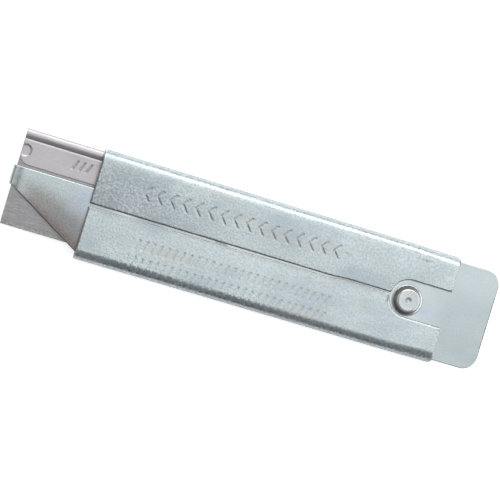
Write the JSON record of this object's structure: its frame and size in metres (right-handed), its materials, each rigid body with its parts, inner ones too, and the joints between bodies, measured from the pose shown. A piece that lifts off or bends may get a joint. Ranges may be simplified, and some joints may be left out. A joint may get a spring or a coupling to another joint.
{
  "type": "retractable box cutter",
  "caption": "Flat steel box cutter: a folded sleeve with a sliding carrier that holds a single-edge razor blade and pushes out of the open end.",
  "frame": {"origin": "centre of the sleeve's flat back face", "axes": "+X along the length from the blade to the tail, +Y across towards the blade's spine, +Z out of the face with the seam and the button; the blade is out at rest"},
  "size_m": [0.0991, 0.0222, 0.0042],
  "materials": {
    "sleeve_zinc": "dull bright zinc plate over rolled sheet steel, fine mottled grain",
    "carrier_zinc": "zinc plate over rolled sheet steel with faint brown and blue tints",
    "rivet_zinc": "zinc plated, turned side, punch-marked centre",
    "spring_steel": "blued spring steel",
    "blade_steel": "plain rolled steel with a ground bevel",
    "spine_steel": "plain drawn steel strip, satin"
  },
  "bodies": {
    "sleeve_body": {"sleeve": "sleeve_zinc"},
    "carrier_body": {"blade_carrier": "carrier_zinc", "stop_rivet": "rivet_zinc", "friction_spring": "spring_steel", "razor_blade": "blade_steel", "blade_spine": "spine_steel"}
  },
  "joints": [
    {"name": "blade_slide", "type": "slide", "parent": "sleeve_body", "child": "carrier_body", "axis": [1, 0, 0], "range_m": [-0.0006, 0.0159]}
  ]
}
